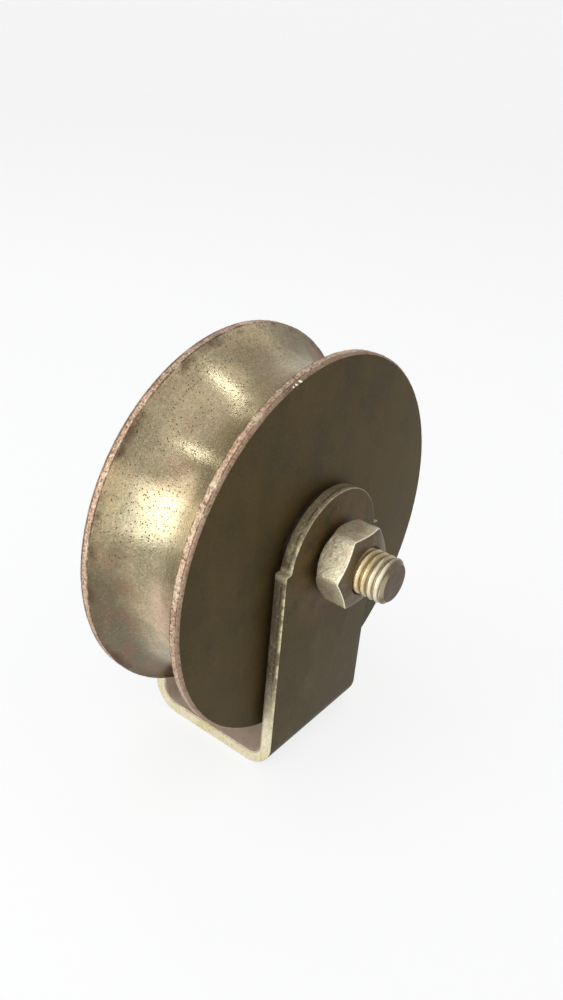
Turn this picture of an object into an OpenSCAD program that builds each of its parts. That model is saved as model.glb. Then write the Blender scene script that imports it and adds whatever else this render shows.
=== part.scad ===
// Sliding gate wheel: a grooved wheel on two ball bearings in a folded flat-bar bracket.
// The origin is the centre of the bracket's underside, +Z is up and the axle lies along Y.
// The front, with the nut, is towards -Y. All sizes are in millimetres.

/* [Wheel] */
// Diameter over the flanges
wheel_d = 127; // [105:1:160]
// Width over the flanges
wheel_w = 39.5; // [36:0.5:60]
// Width of the flat land on each flange's rim
rim_land = 2.65; // [2:0.05:6]
// Depth of the round groove that runs on the track
groove_depth = 11; // [6:0.5:14]
// Chamfer on the outer edge of each flange
rim_chamfer = 0.6; // [0.2:0.1:1.5]

/* [Bracket] */
// Width of the flat bar
bar_w = 49.5; // [46:0.5:70]
// Thickness of the flat bar
bar_t = 4.5; // [3:0.1:8]
// Chamfer along the outer edges of the flat bar
bar_chamfer = 0.4; // [0.2:0.1:1]
// Chamfer along the inner edges of the flat bar, which the shear rolled over
rolled_chamfer = 1.1; // [0.2:0.1:1.4]
// Inside radius of the two folds
bend_r = 5; // [2:0.5:8]
// Radius of the round eye at the top of each cheek
eye_r = 22.6; // [18:0.1:23]
// Height of the ledges beside the eye above the axle
ledge_h = 3; // [0:0.5:8]
// Chamfer on the corner of each ledge
ledge_chamfer = 0.8; // [0.3:0.1:1.5]
// Gap between each side of the wheel and its cheek
side_gap = 2; // [1:0.1:4]
// Gap between the wheel and the floor of the bracket
floor_gap = 7; // [3:0.1:20]

/* [Axle] */
// Width across the flats of the nut and of the bolt's head
hex_af = 23.8; // [21:0.1:30]
// Width that the end chamfers take off each flat of the bolt's head
head_chamfer = 1.3; // [0.3:0.1:2]
// Radius of the nut's round seat on the cheek
nut_seat_r = 10; // [9:0.1:10.4]
// Slope of the chamfer at the nut's seat, in degrees
nut_seat_slope = 40; // [20:1:45]
// Radius of the flat on the nut's crowned end
nut_crown_r = 8.7; // [8.2:0.1:10]
// Slope of the nut's crowned end, in degrees
nut_crown_slope = 18; // [5:1:30]
// Height of the nut
nut_h = 12.2; // [8:0.1:16]
// Height of the bolt's head
head_h = 10; // [6:0.5:14]
// Length of thread that stands out of the nut
thread_out = 10.1; // [3:0.1:25]
// Outside diameter of the thread
thread_d = 15.1; // [11:0.1:15.8]
// Chamfer on the threaded end
tip_chamfer = 1.5; // [0.5:0.1:2.5]
// Turn of the nut about the axle, in degrees
nut_turn = 58.6; // [0:0.1:60]
// Turn of the bolt's head about the axle, in degrees
head_turn = 12; // [0:1:60]

/* [Bearings] */
// Bore of the inner rings
bearing_bore = 15.875; // [12:0.125:17]
// Outside diameter of the outer rings
bearing_d = 40; // [37:1:44]
// Width of the rings
bearing_w = 12; // [10.5:0.5:15]
// Depth of the bearings below the wheel's sides
bearing_inset = 1; // [0.5:0.1:3]
// Diameter of the balls
ball_d = 6.75; // [5.5:0.05:7.5]
// Number of balls in each bearing
ball_count = 8; // [6:1:8]
// Depth of the raceways below their shoulders
raceway_depth = 1.2; // [0.8:0.1:1.5]
// Thickness of the sheet that the cages are pressed from
cage_t = 0.7; // [0.4:0.1:0.9]
// Width of the cages' ring
cage_w = 2.6; // [2:0.1:3.2]
// Thickness of the shields
shield_t = 0.6; // [0.3:0.1:0.8]
// Depth of the shields below the rings' faces
shield_inset = 0.4; // [0.2:0.1:0.6]

/* [Clearances] */
// Radial clearance of the bolt in the inner rings and in the nut
bolt_play = 0.04; // [0.01:0.01:0.1]
// Radial clearance of the bolt in the bracket, the washers and the spacer tube
loose_play = 0.35; // [0.1:0.05:0.6]
// Radial clearance of the bearings in the wheel and of the shields in their rings
seat_play = 0.03; // [0.01:0.01:0.05]
// Clearance of a ball at the bottom of each raceway
ball_play = 0.06; // [0.02:0.01:0.1]
// Clearance of a ball in its cage
pocket_play = 0.1; // [0.05:0.05:0.2]
// Radial gap between a shield and the inner ring
shield_gap = 0.4; // [0.2:0.1:0.6]

/* [Hidden] */
$fn = 96;

// Sides of the axle, as directions along Y
FRONT = -1;
REAR = 1;

// Colours of the finishes
WHEEL_ZINC = "#a8956e";
BAR_ZINC = "#8a7b58";
NUT_ZINC = "#c0b08c";
BOLT_ZINC = "#c8b47c";
RING_STEEL = "#b4b6b8";
BALL_STEEL = "#d8dadc";
CAGE_STEEL = "#9a9c9e";
SHIELD_STEEL = "#8e9092";

// Overlap of cutting tools past the faces that they cut
past = 1;

// Wheel and groove
wheel_r = wheel_d / 2;
wheel_half = wheel_w / 2;
groove_half = wheel_half - rim_chamfer - rim_land;
groove_r = (groove_half ^ 2 + groove_depth ^ 2) / (2 * groove_depth);
groove_centre_r = wheel_r - groove_depth + groove_r;

// Bracket and axle
cheek_in = wheel_half + side_gap;
cheek_out = cheek_in + bar_t;
axle_h = bar_t + floor_gap + wheel_r;
ledge_z = axle_h + ledge_h;
bolt_r = bearing_bore / 2 - bolt_play;
loose_r = bolt_r + loose_play;
nut_top = cheek_out + nut_h;
bolt_end = nut_top + thread_out;
thread_r = thread_d / 2;
thread_start = cheek_in + bar_t / 2;
hex_corner_r = hex_af / sqrt(3);
head_face_r = hex_af / 2 - head_chamfer;
head_slope = 30;

// Bearing: everything follows from the circle on which the balls run
bearing_z = wheel_half - bearing_inset - bearing_w / 2;
seat_r = bearing_d / 2 + seat_play;
seat_depth = bearing_inset + bearing_w;
seat_chamfer = bearing_inset / 2;
ball_r = ball_d / 2;
pitch_r = (bearing_bore + bearing_d) / 4;
raceway_r = ball_r + 2 * ball_play;
inner_floor_r = pitch_r - ball_r - ball_play;
outer_floor_r = pitch_r + ball_r + ball_play;
inner_land_r = inner_floor_r + raceway_depth;
outer_land_r = outer_floor_r - raceway_depth;
shield_seat_r = outer_land_r + raceway_depth / 2;
shield_z = bearing_w / 2 - shield_inset - shield_t;
ball_step = 360 / ball_count;
pocket_r = ball_r + pocket_play;
pocket_out_r = pocket_r + cage_t;

// The flat between two ball pockets takes a rivet
cage_flat = 2 * pitch_r * sin(ball_step / 2) - 2 * pocket_out_r;
rivet_head_r = cage_flat * 0.35;
rivet_head_h = cage_t / 2;
rivet_r = rivet_head_r * 0.6;

// Bore of the wheel between its bearings, and the ring faces that washers and tube bear on
hub_bore_r = (outer_land_r + bearing_d / 2) / 2;
hub_land = 2 * (wheel_half - seat_depth);
washer_t = side_gap + bearing_inset;
washer_r = inner_land_r - shield_gap;

// Puts its children on the axle with local +Z pointing out of the given side
module on_axle(side) {
    translate([0, 0, axle_h]) rotate([-90 * side, 0, 0]) children();
}

// Puts its children at the middle of the bearing of the given side
module at_bearing(side) {
    on_axle(side) translate([0, 0, bearing_z]) children();
}

// Repeats its children around the circle of the balls, from a start angle
module around_balls(start) {
    for (i = [0 : ball_count - 1])
        rotate(start + i * ball_step) translate([pitch_r, 0, 0]) children();
}

// Turns an outline of [radius, height] points into a solid of revolution
module turned(outline) {
    rotate_extrude() polygon(outline);
}

// A plain ring between two radii, standing on its own height
module ring(inner, outer, height) {
    difference() {
        cylinder(r = outer, h = height);
        translate([0, 0, -past]) cylinder(r = inner, h = height + 2 * past);
    }
}

// A hexagon prism with each end turned down to a round face at its own slope
module hex_blank(height, low_r, low_slope, high_r, high_slope) {
    far_r = hex_corner_r + past;
    intersection() {
        cylinder(r = hex_corner_r, h = height, $fn = 6);
        turned([
            [0, 0], [low_r, 0], [far_r, (far_r - low_r) * tan(low_slope)],
            [far_r, height - (far_r - high_r) * tan(high_slope)], [high_r, height], [0, height]
        ]);
    }
}

// Section of the flat bar: thickness along X from 0 at its inner face, width along Y about 0
module bar_section() {
    w = bar_w / 2;
    c = bar_chamfer;
    r = rolled_chamfer;
    polygon([
        [r, -w], [bar_t - c, -w], [bar_t, c - w], [bar_t, w - c],
        [bar_t - c, w], [r, w], [0, w - r], [0, r - w]
    ]);
}

// One fold of the bar: a quarter turn from the floor up into the cheek of the given side
module fold(side) {
    translate([0, side * (cheek_in - bend_r), bar_t + bend_r])
        mirror([0, side > 0 ? 0 : 1, 0])
            rotate([0, 90, 0])
                rotate_extrude(angle = 90) translate([bend_r, 0]) bar_section();
}

// One cheek: the bar from the fold to its ledges, with the round eye about the axle
module cheek(side) {
    low = bar_t + bend_r;
    difference() {
        translate([0, side * cheek_in, low])
            rotate(side * 90)
                linear_extrude(height = ledge_z - low) bar_section();
        for (end = [-1, 1])
            translate([end * bar_w / 2, side * cheek_in, ledge_z])
                rotate([0, 45, 0])
                    cube([ledge_chamfer * sqrt(2), 4 * bar_t, ledge_chamfer * sqrt(2)], center = true);
    }
    on_axle(side)
        translate([0, 0, cheek_in])
            turned([
                [0, 0], [eye_r - rolled_chamfer, 0], [eye_r, rolled_chamfer],
                [eye_r, bar_t - bar_chamfer], [eye_r - bar_chamfer, bar_t], [0, bar_t]
            ]);
}

// Bracket folded from one flat bar
module bracket() {
    floor_half = cheek_in - bend_r;
    color(BAR_ZINC) difference() {
        union() {
            translate([0, floor_half, bar_t])
                rotate([90, 0, 0])
                    linear_extrude(height = 2 * floor_half) rotate(-90) bar_section();
            for (side = [FRONT, REAR]) {
                fold(side);
                cheek(side);
            }
        }
        on_axle(REAR)
            translate([0, 0, -cheek_out - past]) cylinder(r = loose_r, h = 2 * (cheek_out + past));
    }
}

// Wheel turned from one blank: flanges, round groove and a seat for a bearing in each side
module wheel() {
    h = wheel_half;
    land = hub_land / 2;
    color(WHEEL_ZINC) on_axle(REAR) difference() {
        turned([
            [seat_r + seat_chamfer, h], [wheel_r - rim_chamfer, h], [wheel_r, h - rim_chamfer],
            [wheel_r, rim_chamfer - h], [wheel_r - rim_chamfer, -h], [seat_r + seat_chamfer, -h],
            [seat_r, seat_chamfer - h], [seat_r, -land], [hub_bore_r, -land],
            [hub_bore_r, land], [seat_r, land], [seat_r, h - seat_chamfer]
        ]);
        rotate_extrude() translate([groove_centre_r, 0]) circle(r = groove_r);
    }
}

// Through bolt: its head bears on the rear cheek, and its thread begins inside the front one
module axle_bolt() {
    color(BOLT_ZINC) on_axle(FRONT) {
        translate([0, 0, -cheek_out - head_h]) rotate(head_turn)
            hex_blank(head_h, head_face_r, head_slope, head_face_r, head_slope);
        turned([
            [0, -cheek_out - head_h / 2], [bolt_r, -cheek_out - head_h / 2],
            [bolt_r, thread_start], [thread_r, thread_start],
            [thread_r, bolt_end - tip_chamfer], [thread_r - tip_chamfer, bolt_end], [0, bolt_end]
        ]);
    }
}

// Nut on the front cheek
module axle_nut() {
    color(NUT_ZINC) on_axle(FRONT) translate([0, 0, cheek_out]) difference() {
        rotate(nut_turn)
            hex_blank(nut_h, nut_seat_r, nut_seat_slope, nut_crown_r, nut_crown_slope);
        translate([0, 0, -past]) cylinder(r = thread_r + bolt_play, h = nut_h + 2 * past);
    }
}

// Washer between a cheek and the inner ring of its bearing
module washer(side) {
    color(BAR_ZINC) on_axle(side)
        translate([0, 0, cheek_in - washer_t]) ring(loose_r, washer_r, washer_t);
}

// Tube that holds the two inner rings apart
module spacer_tube() {
    color(BAR_ZINC) on_axle(REAR)
        translate([0, 0, -hub_land / 2]) ring(loose_r, washer_r, hub_land);
}

// Outer ring with its raceway and a step for a shield at each face
module outer_ring(side) {
    h = bearing_w / 2;
    r = bearing_d / 2;
    color(RING_STEEL) at_bearing(side) difference() {
        turned([
            [shield_seat_r, h], [r, h], [r, -h], [shield_seat_r, -h],
            [shield_seat_r, -shield_z], [outer_land_r, -shield_z],
            [outer_land_r, shield_z], [shield_seat_r, shield_z]
        ]);
        rotate_extrude() translate([outer_floor_r - raceway_r, 0]) circle(r = raceway_r);
    }
}

// Inner ring with its raceway
module inner_ring(side) {
    color(RING_STEEL) at_bearing(side) difference() {
        translate([0, 0, -bearing_w / 2]) ring(bearing_bore / 2, inner_land_r, bearing_w);
        rotate_extrude() translate([inner_floor_r + raceway_r, 0]) circle(r = raceway_r);
    }
}

// Balls of one bearing
module balls(side) {
    color(BALL_STEEL) at_bearing(side) around_balls(0) sphere(r = ball_r);
}

// Half of a ribbon cage: a flat ring with a round pocket over each ball
module cage_half(side, half) {
    color(CAGE_STEEL) at_bearing(side) mirror([0, 0, half > 0 ? 0 : 1]) intersection() {
        ring(pitch_r - cage_w / 2, pitch_r + cage_w / 2, pocket_out_r + past);
        difference() {
            union() {
                cylinder(r = pitch_r + cage_w, h = cage_t);
                around_balls(0) sphere(r = pocket_out_r);
            }
            around_balls(0) sphere(r = pocket_r);
            around_balls(ball_step / 2)
                translate([0, 0, -past]) cylinder(r = rivet_r + seat_play, h = cage_t + 2 * past);
        }
    }
}

// Rivets that hold the two halves of a cage together
module cage_rivets(side) {
    top = cage_t + rivet_head_h;
    color(CAGE_STEEL) at_bearing(side) around_balls(ball_step / 2) turned([
        [0, -top], [rivet_head_r, -top], [rivet_head_r, -cage_t], [rivet_r, -cage_t],
        [rivet_r, cage_t], [rivet_head_r, cage_t], [rivet_head_r, top], [0, top]
    ]);
}

// Shield on the outer face or the inner face of a bearing
module shield(side, face) {
    color(SHIELD_STEEL) at_bearing(side) mirror([0, 0, face > 0 ? 0 : 1])
        translate([0, 0, shield_z])
            ring(inner_land_r + shield_gap, shield_seat_r - seat_play, shield_t);
}

bracket();
wheel();
axle_bolt();
axle_nut();
washer(FRONT);  // front_washer
washer(REAR);  // rear_washer
spacer_tube();

outer_ring(FRONT);  // front_outer_ring
inner_ring(FRONT);  // front_inner_ring
balls(FRONT);  // front_balls
cage_half(FRONT, 1);  // front_cage_outer
cage_half(FRONT, -1);  // front_cage_inner
cage_rivets(FRONT);  // front_cage_rivets
shield(FRONT, 1);  // front_shield_outer
shield(FRONT, -1);  // front_shield_inner

outer_ring(REAR);  // rear_outer_ring
inner_ring(REAR);  // rear_inner_ring
balls(REAR);  // rear_balls
cage_half(REAR, 1);  // rear_cage_outer
cage_half(REAR, -1);  // rear_cage_inner
cage_rivets(REAR);  // rear_cage_rivets
shield(REAR, 1);  // rear_shield_outer
shield(REAR, -1);  // rear_shield_inner
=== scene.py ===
import math

import bmesh
import bpy
from bpy.props import FloatProperty, FloatVectorProperty, IntProperty, PointerProperty
from mathutils import Matrix, Vector, noise


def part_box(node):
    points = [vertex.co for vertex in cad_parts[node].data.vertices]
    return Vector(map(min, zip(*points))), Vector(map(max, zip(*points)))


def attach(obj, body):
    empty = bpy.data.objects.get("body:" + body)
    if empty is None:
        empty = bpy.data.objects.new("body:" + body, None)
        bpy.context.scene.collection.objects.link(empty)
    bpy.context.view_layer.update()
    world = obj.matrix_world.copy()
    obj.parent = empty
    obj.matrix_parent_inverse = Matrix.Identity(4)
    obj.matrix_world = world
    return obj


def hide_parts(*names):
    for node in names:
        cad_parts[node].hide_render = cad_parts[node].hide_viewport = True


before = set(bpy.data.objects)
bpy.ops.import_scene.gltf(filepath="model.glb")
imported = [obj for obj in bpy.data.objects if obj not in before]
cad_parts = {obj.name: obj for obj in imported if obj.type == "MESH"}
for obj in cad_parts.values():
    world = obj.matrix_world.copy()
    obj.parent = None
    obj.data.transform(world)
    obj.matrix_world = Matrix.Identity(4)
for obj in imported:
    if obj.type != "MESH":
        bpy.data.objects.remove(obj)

bl_info = {
    "name": "Sliding gate wheel",
    "version": (1, 0, 0),
    "blender": (4, 5, 0),
    "location": "View3D > Sidebar > Gate wheel",
    "description": "Builds a yellow-plated gate wheel in its folded bracket on its solid frame",
    "category": "Add Mesh",
}

MM = 0.001
MERGE = 1e-6
ON_PLANE = 1e-7
SMOOTH_ANGLE = math.radians(35)
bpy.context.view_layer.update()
WHEEL_LOW, WHEEL_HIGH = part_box("wheel")
_, BAR_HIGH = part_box("bracket")
NUT_LOW, NUT_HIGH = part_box("axle_nut")
BOLT_LOW, BOLT_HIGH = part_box("axle_bolt")
AXLE_H = (WHEEL_LOW.z + WHEEL_HIGH.z) / 2
AXLE = Vector((0, 0, AXLE_H))
ALONG_AXLE = Vector((0, 1, 0))
# The solid wheel is many-sided, and the drawn circle stays just inside its box.
WHEEL_R = min(-WHEEL_LOW.x, WHEEL_HIGH.x, WHEEL_HIGH.z - AXLE_H) - 0.002 * MM

# Steps of the round forms.
WHEEL_STEPS = 360
BOLT_STEPS = 96
GROOVE_STEPS = 40
EYE_STEPS = 40
HOLE_STEPS = 32
FOLD_STEPS = 12
CREST_STEPS = 10
FLOOR_STEPS = 96
FLOOR_BEND_STEPS = 12

# The dents of the rims: how fine they are round the wheel and across it, and their finer second layer.
DENTS_ROUND, DENTS_ACROSS, DENTS_FINER = 90, 400, 2.7

# The beads: degrees from the wheel's top, size, and length against width.
BEADS = ((-16.3, 0.75 * MM, 1.5), (-17.9, 0.6 * MM, 1.4), (-19.0, 0.4 * MM, 1.2))
BEAD_WIDTH = 0.8
BEAD_TILT = math.radians(35)
BEAD_INSET = 0.45 * MM
BEAD_FROM_FACE = 0.35 * MM
BEAD_BUMPS, BEAD_BUMPS_PER_M = 0.12 * MM, 1600

# The pale floor: radius of its flat part, radius of its bend, and the height of its wall.
FLOOR_R, FLOOR_BEND, FLOOR_TOP = 2.6, 0.4, 1.7
FLOOR_GREY = (0.90, 0.90, 0.90)
FLOOR_GLOW = 0.8
ROOM_LIGHT = 0.5
WHITE = (1, 1, 1)
COOL = (0.86, 0.97, 1.0)
# The lamps: direction from the axle, distance, direction of the first side, both sides, radiance and tint.
LAMPS = {
    "ceiling": ((-0.15, -0.15, 0.97), 1.5, (1, 0, 0), (2.6, 2.6), 0.46, WHITE),
    "left_wall": ((-0.85, 0.45, 0.25), 1.6, (0.45, 0.85, 0), (2.2, 1.2), 1.2, WHITE),
    "left_window": ((-0.973, 0.212, 0.08), 0.7, (0.185, 0.972, -0.147), (1.2, 0.56), 1.9, COOL),
    "upper_strip": ((0.242, 0.20, 0.95), 0.7, (0, 1, 0), (1.1, 0.03), 6.5, COOL),
    "rear_strip": ((-0.45, 0.50, 0.74), 0.7, (0.451, 0.708, -0.544), (0.7, 0.025), 6.5, COOL),
}
# The camera: place from the axle, heading, downward tilt and roll in degrees, lens and sensor in mm.
CAMERA_AT = Vector((-0.2026, -0.1503, 0.1465))
CAMERA_HEADING, CAMERA_DOWN, CAMERA_ROLL = -54.1666, 28.4777, 5.0718
CAMERA_LENS, CAMERA_SENSOR = 31.888, 36.0
CAMERA_NEAR, CAMERA_FAR = 0.01, 50.0


def length_prop(name, description, value):
    """A size in metres that the sidebar shows as a length."""
    return FloatProperty(name=name, description=description, default=value, min=0.0, soft_max=0.2,
                         precision=5, unit="LENGTH")


def share_prop(name, description, value, high):
    """A share of another size."""
    return FloatProperty(name=name, description=description, default=value, min=0.0, max=high,
                         subtype="FACTOR")


def angle_prop(name, description, degrees):
    """An angle, with its default in degrees."""
    return FloatProperty(name=name, description=description, default=math.radians(degrees),
                         unit="ROTATION")


def colour_prop(name, description, value):
    """A colour, in linear light, with a swatch in the sidebar."""
    return FloatVectorProperty(name=name, description=description, default=value, size=3,
                               subtype="COLOR", min=0.0, max=1.0)


class GateWheelSizes(bpy.types.PropertyGroup):
    """Sizes of the pieces that are modelled over the solid frame."""
    rim_land: length_prop("Rim land", "Width of the flat land on each flange's rim", 2.65 * MM)
    rim_chamfer: length_prop("Rim chamfer", "Chamfer on the outer edge of each flange", 0.6 * MM)
    rim_round: length_prop("Rim round", "Round on the edges of the rims", 0.22 * MM)
    rim_wear: length_prop("Rim wear", "Depth of the small dents along the rims", 0.16 * MM)
    groove_depth: length_prop("Groove depth", "Depth of the round groove", 11 * MM)
    seat_r: length_prop("Seat radius", "Radius of the bearing seats in the wheel", 20.03 * MM)
    seat_depth: length_prop("Seat depth", "Depth of the bearing seats", 13 * MM)
    seat_lead: length_prop("Seat lead-in", "Chamfer at the mouth of each bearing seat", 0.5 * MM)
    hub_bore_r: length_prop("Hub bore", "Radius of the bore between the seats", 18.3 * MM)
    bar_t: length_prop("Bar thickness", "Thickness of the flat bar", 4.5 * MM)
    bend_r: length_prop("Fold radius", "Inside radius of the two folds", 5 * MM)
    fold_thinning: share_prop("Fold thinning", "Share of its thickness that the bar loses in a fold",
                              0.08, 0.3)
    eye_r: length_prop("Eye radius", "Radius of the round eye on each cheek", 22.6 * MM)
    ledge_h: length_prop("Ledge height", "Height of the ledges above the axle", 3 * MM)
    ledge_tip: length_prop("Ledge corner", "Round on the outer corner of each ledge", 0.8 * MM)
    ledge_root: length_prop("Ledge root", "Round where each ledge meets its eye", 0.45 * MM)
    hole_r: length_prop("Bolt hole", "Radius of the bolt hole in each cheek", 8.25 * MM)
    rolled_round: length_prop("Rolled edge", "Round on the bar's inner edges", 1.7 * MM)
    outer_round: length_prop("Outer edge", "Round on the bar's outer edges", 0.4 * MM)
    hex_af: length_prop("Across flats", "Width across the flats of the nut and the head", 23.8 * MM)
    head_face_r: length_prop("Head face", "Radius of the round end faces of the bolt's head", 10.6 * MM)
    head_slope: angle_prop("Head slope", "Slope of the turned ends of the bolt's head", 30)
    head_turn: angle_prop("Head turn", "Turn of the bolt's head about the axle", 12)
    head_round: length_prop("Head edges", "Round on the edges of the bolt's head", 0.3 * MM)
    seat_face_r: length_prop("Nut seat", "Radius of the nut's round seat on the cheek", 10 * MM)
    seat_slope: angle_prop("Seat slope", "Slope of the nut's turned end at its seat", 40)
    crown_face_r: length_prop("Nut crown", "Radius of the flat on the nut's crowned end", 8.7 * MM)
    crown_slope: angle_prop("Crown slope", "Slope of the nut's crowned end", 18)
    nut_turn: angle_prop("Nut turn", "Turn of the nut about the axle", 58.6)
    nut_round: length_prop("Nut edges", "Round on the nut's worn edges", 0.25 * MM)
    bore_lead: length_prop("Bore lead-in", "Chamfer at both mouths of the nut's bore", 0.6 * MM)
    bore_play: length_prop("Bore play", "Play between the nut's bore and the thread's crests", 0.04 * MM)
    shank_r: length_prop("Shank radius", "Radius of the bolt's plain shank", 7.8975 * MM)
    shank_chamfer: length_prop("Shank chamfer", "Chamfer where the shank meets the thread", 0.6 * MM)
    thread_r: length_prop("Thread radius", "Radius over the thread's crests", 7.55 * MM)
    thread_start: length_prop("Thread start", "Distance from the wheel's middle to the thread", 24 * MM)
    thread_shift: length_prop("Thread shift", "Shift that sets where the crests lie along the bolt",
                              0.55 * MM)
    pitch: length_prop("Pitch", "Distance between two turns of the thread", 2.309 * MM)
    crest_share: share_prop("Crest width", "Share of the pitch that the rounded crest takes", 0.62, 0.95)
    crest_h: length_prop("Crest height", "Height of the rounded crest", 0.36 * MM)
    flank_h: length_prop("Flank height", "Height of the flanks under the crest", 0.45 * MM)
    tip_chamfer: length_prop("Tip chamfer", "Chamfer on the threaded end", 1.5 * MM)
    thread_steps: IntProperty(name="Steps per turn", description="Steps in one turn of the thread",
                              default=72, min=12, max=144)


class GateWheelColours(bpy.types.PropertyGroup):
    """Colours of the plated finishes."""
    groove: colour_prop("Groove", "Yellow plating in the groove", (0.54, 0.43, 0.265))
    groove_pink: colour_prop("Groove, rubbed", "Reddish patches in the groove", (0.50, 0.32, 0.21))
    groove_green: colour_prop("Groove, grey", "Greenish grey patches in the groove", (0.40, 0.34, 0.215))
    rim: colour_prop("Rim", "Copper tone of the rims", (0.58, 0.365, 0.245))
    # The dark olive of the wheel's sides and the bar's faces is partly painted shade: their plating is
    # painted darker for the dark reflection these faces show.
    side: colour_prop("Side", "Dark olive plating on the wheel's sides", (0.068, 0.046, 0.0145))
    side_warm: colour_prop("Side, warm", "Brown tone on the wheel's sides", (0.083, 0.055, 0.016))
    bar: colour_prop("Bar", "Dark olive plating on the bar's faces", (0.068, 0.048, 0.014))
    bar_warm: colour_prop("Bar, warm", "Brown tone on the bar's faces", (0.125, 0.070, 0.028))
    # The cream bar edge colour is painted light, laid only on the lower edges where the wheel leaves them
    # lit.
    edge: colour_prop("Bar edge", "Cream tone of the bar's edges", (0.74, 0.66, 0.46))
    edge_dark: colour_prop("Bar edge, dark", "Brown tone of the bar's torn edge", (0.175, 0.132, 0.083))
    floor_tone: colour_prop("Bar floor", "Greyish tone inside the bracket", (0.58, 0.46, 0.375))
    nut: colour_prop("Nut", "Pale plating on the nut's flats", (0.82, 0.72, 0.50))
    nut_face: colour_prop("Nut face", "Darker plating on the nut's end faces", (0.17, 0.13, 0.08))
    thread: colour_prop("Thread", "Golden plating on the thread", (0.92, 0.73, 0.42))
    tip: colour_prop("Bolt end", "Dark brown of the bolt's end face", (0.115, 0.080, 0.054))
    steel: colour_prop("Bearing steel", "Ground steel of the bearing rings", (0.56, 0.57, 0.58))
    ball: colour_prop("Ball steel", "Polished steel of the balls", (0.75, 0.76, 0.77))
    sheet: colour_prop("Sheet steel", "Pressed steel of cages and shields", (0.42, 0.43, 0.44))


class Tint:
    """Fixed tints of wear, grit, soil, stains, and painted light and shade, in linear light."""
    groove_worn = (0.58, 0.48, 0.30)
    groove_streak = (0.30, 0.235, 0.15)
    groove_blush_light = (0.95, 0.69, 0.51)
    groove_soil_shade = (0.15, 0.13, 0.085)
    groove_soil_red = (0.22, 0.125, 0.085)
    groove_grit_light = (0.84, 0.76, 0.57)
    groove_grit_dark = (0.19, 0.14, 0.085)
    groove_pit = (0.055, 0.036, 0.024)
    groove_grime_and_shade = (0.10, 0.055, 0.038)
    rim_dull = (0.50, 0.35, 0.23)
    rim_pale = (0.62, 0.52, 0.37)
    rim_brown = (0.26, 0.15, 0.095)
    rim_grit_dark = (0.15, 0.085, 0.052)
    rim_grit_light = (0.86, 0.72, 0.56)
    rim_speck = (0.11, 0.062, 0.040)
    rim_outer = (0.20, 0.13, 0.085)
    rim_crease = (0.05, 0.032, 0.021)
    side_grey = (0.050, 0.042, 0.018)
    side_light = (0.100, 0.067, 0.021)
    side_dark = (0.033, 0.024, 0.010)
    side_grain_light = (0.135, 0.102, 0.045)
    side_grain_dark = (0.026, 0.018, 0.010)
    side_speck = (0.035, 0.025, 0.016)
    bar_light = (0.094, 0.067, 0.023)
    bar_green = (0.076, 0.067, 0.028)
    bar_dark = (0.045, 0.034, 0.015)
    bar_grain_light = (0.155, 0.12, 0.056)
    bar_grain_dark = (0.034, 0.025, 0.015)
    floor_dark = (0.44, 0.34, 0.26)
    floor_grain = (0.55, 0.46, 0.37)
    edge_brown = (0.24, 0.183, 0.115)
    edge_eye_top_lit = (0.33, 0.26, 0.16)
    edge_seam = (0.06, 0.043, 0.027)
    edge_lip_glint = (0.80, 0.70, 0.43)
    edge_olive = (0.52, 0.44, 0.21)
    edge_lit_yellow = (0.66, 0.56, 0.29)
    edge_lit_cream = (0.84, 0.77, 0.58)
    edge_inner = (0.30, 0.22, 0.15)
    edge_ledge_highlight = (0.62, 0.52, 0.33)
    edge_grit_dark = (0.17, 0.122, 0.07)
    edge_grit_light = (0.90, 0.84, 0.64)
    nut_brown = (0.66, 0.50, 0.35)
    nut_olive = (0.76, 0.70, 0.46)
    nut_grit_light = (0.93, 0.87, 0.68)
    nut_grit_dark = (0.27, 0.20, 0.125)
    nut_edge_bright = (0.94, 0.89, 0.72)
    nut_face_dark = (0.12, 0.09, 0.055)
    nut_face_grain = (0.26, 0.21, 0.14)
    thread_brown = (0.74, 0.56, 0.30)
    thread_pale = (0.97, 0.87, 0.66)
    thread_line = (0.36, 0.26, 0.14)
    thread_root = (0.26, 0.19, 0.105)
    thread_painted_shade = (0.31, 0.24, 0.14)
    thread_grit = (0.26, 0.18, 0.10)
    thread_end_and_shade = (0.15, 0.108, 0.072)
    tip_light = (0.15, 0.105, 0.07)
    tip_grain = (0.2, 0.15, 0.11)


def sizes():
    return bpy.context.scene.gate_wheel_sizes


def colours():
    return bpy.context.scene.gate_wheel_colours


def groove_half():
    """Half the width of the groove's mouth."""
    return WHEEL_HIGH.y - sizes().rim_chamfer - sizes().rim_land


class Outline:
    """A wire that grows from its last vertex by straight runs and arcs."""

    def __init__(self, bm, start):
        self.bm = bm
        self.first = self.last = bm.verts.new(start)

    def line(self, to):
        self.last = bmesh.ops.extrude_vert_indiv(self.bm, verts=[self.last])["verts"][0]
        self.last.co = to
        return self

    def arc(self, centre, axis, angle, steps):
        made = bmesh.ops.spin(self.bm, geom=[self.last], cent=centre, axis=axis, dvec=(0, 0, 0),
                              angle=angle, steps=steps, use_merge=False)
        self.last = next(g for g in made["geom_last"] if isinstance(g, bmesh.types.BMVert))
        return self

    def close(self):
        bmesh.ops.contextual_create(self.bm, geom=[self.last, self.first])
        return self


def everything(bm):
    return bm.verts[:] + bm.edges[:] + bm.faces[:]


def spin_closed(bm, steps, centre=AXLE, axis=ALONG_AXLE):
    """Turns the wire that the bmesh holds once round an axis and merges its seam and poles."""
    bmesh.ops.spin(bm, geom=bm.verts[:] + bm.edges[:], cent=centre, axis=axis, dvec=(0, 0, 0),
                   angle=math.tau, steps=steps, use_merge=True)
    bmesh.ops.remove_doubles(bm, verts=bm.verts[:], dist=MERGE)
    bmesh.ops.recalc_face_normals(bm, faces=bm.faces[:])


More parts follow.
